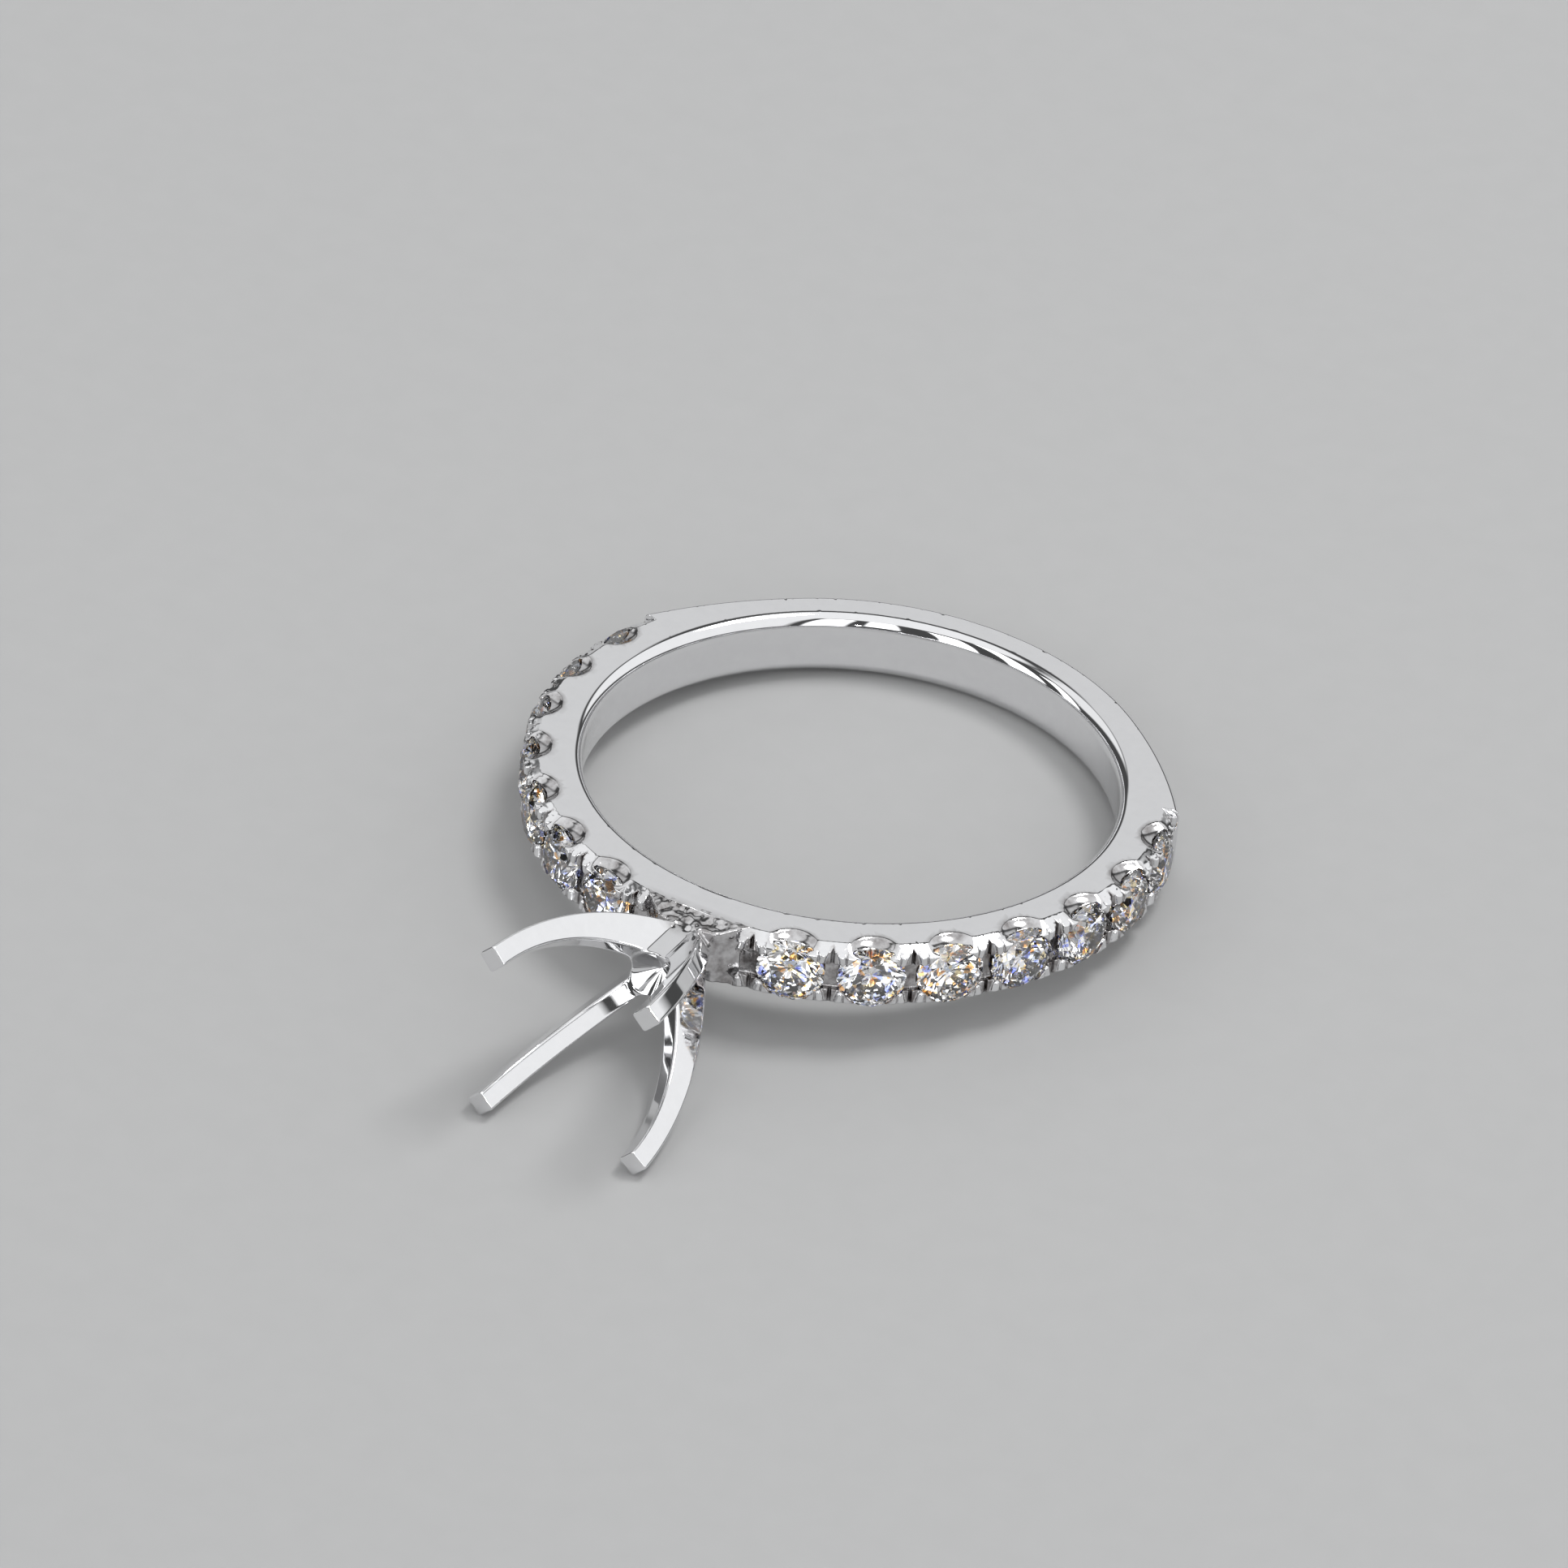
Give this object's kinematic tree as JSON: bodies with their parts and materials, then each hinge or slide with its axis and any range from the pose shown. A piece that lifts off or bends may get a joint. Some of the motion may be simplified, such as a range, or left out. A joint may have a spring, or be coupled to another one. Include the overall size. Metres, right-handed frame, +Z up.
{
  "type": "semi mount ring setting",
  "caption": "Engagement ring band with an empty four-prong head and round side stones, lying on its side.",
  "frame": {"origin": "centre of the bounding box, on the surface that the ring lies on", "axes": "+Z up; the head points to -Y; the finger axis leans about 4 degrees from +Z towards +Y, because the ring rests on two prong tips and the far rim of its shank; +X is across the ring, to the right of the head seen from the front"},
  "size_m": [0.0202, 0.0274, 0.0061],
  "materials": {
    "white_gold": "rhodium-plated white gold with a mirror polish",
    "diamond": "clear polished brilliant-cut stone"
  },
  "bodies": {
    "root": {"ring_metal": "white_gold", "stone_right_1": "diamond", "stone_right_2": "diamond", "stone_right_3": "diamond", "stone_right_4": "diamond", "stone_right_5": "diamond", "stone_right_6": "diamond", "stone_right_7": "diamond", "stone_left_1": "diamond", "stone_left_2": "diamond", "stone_left_3": "diamond", "stone_left_4": "diamond", "stone_left_5": "diamond", "stone_left_6": "diamond", "stone_left_7": "diamond"}
  },
  "joints": []
}
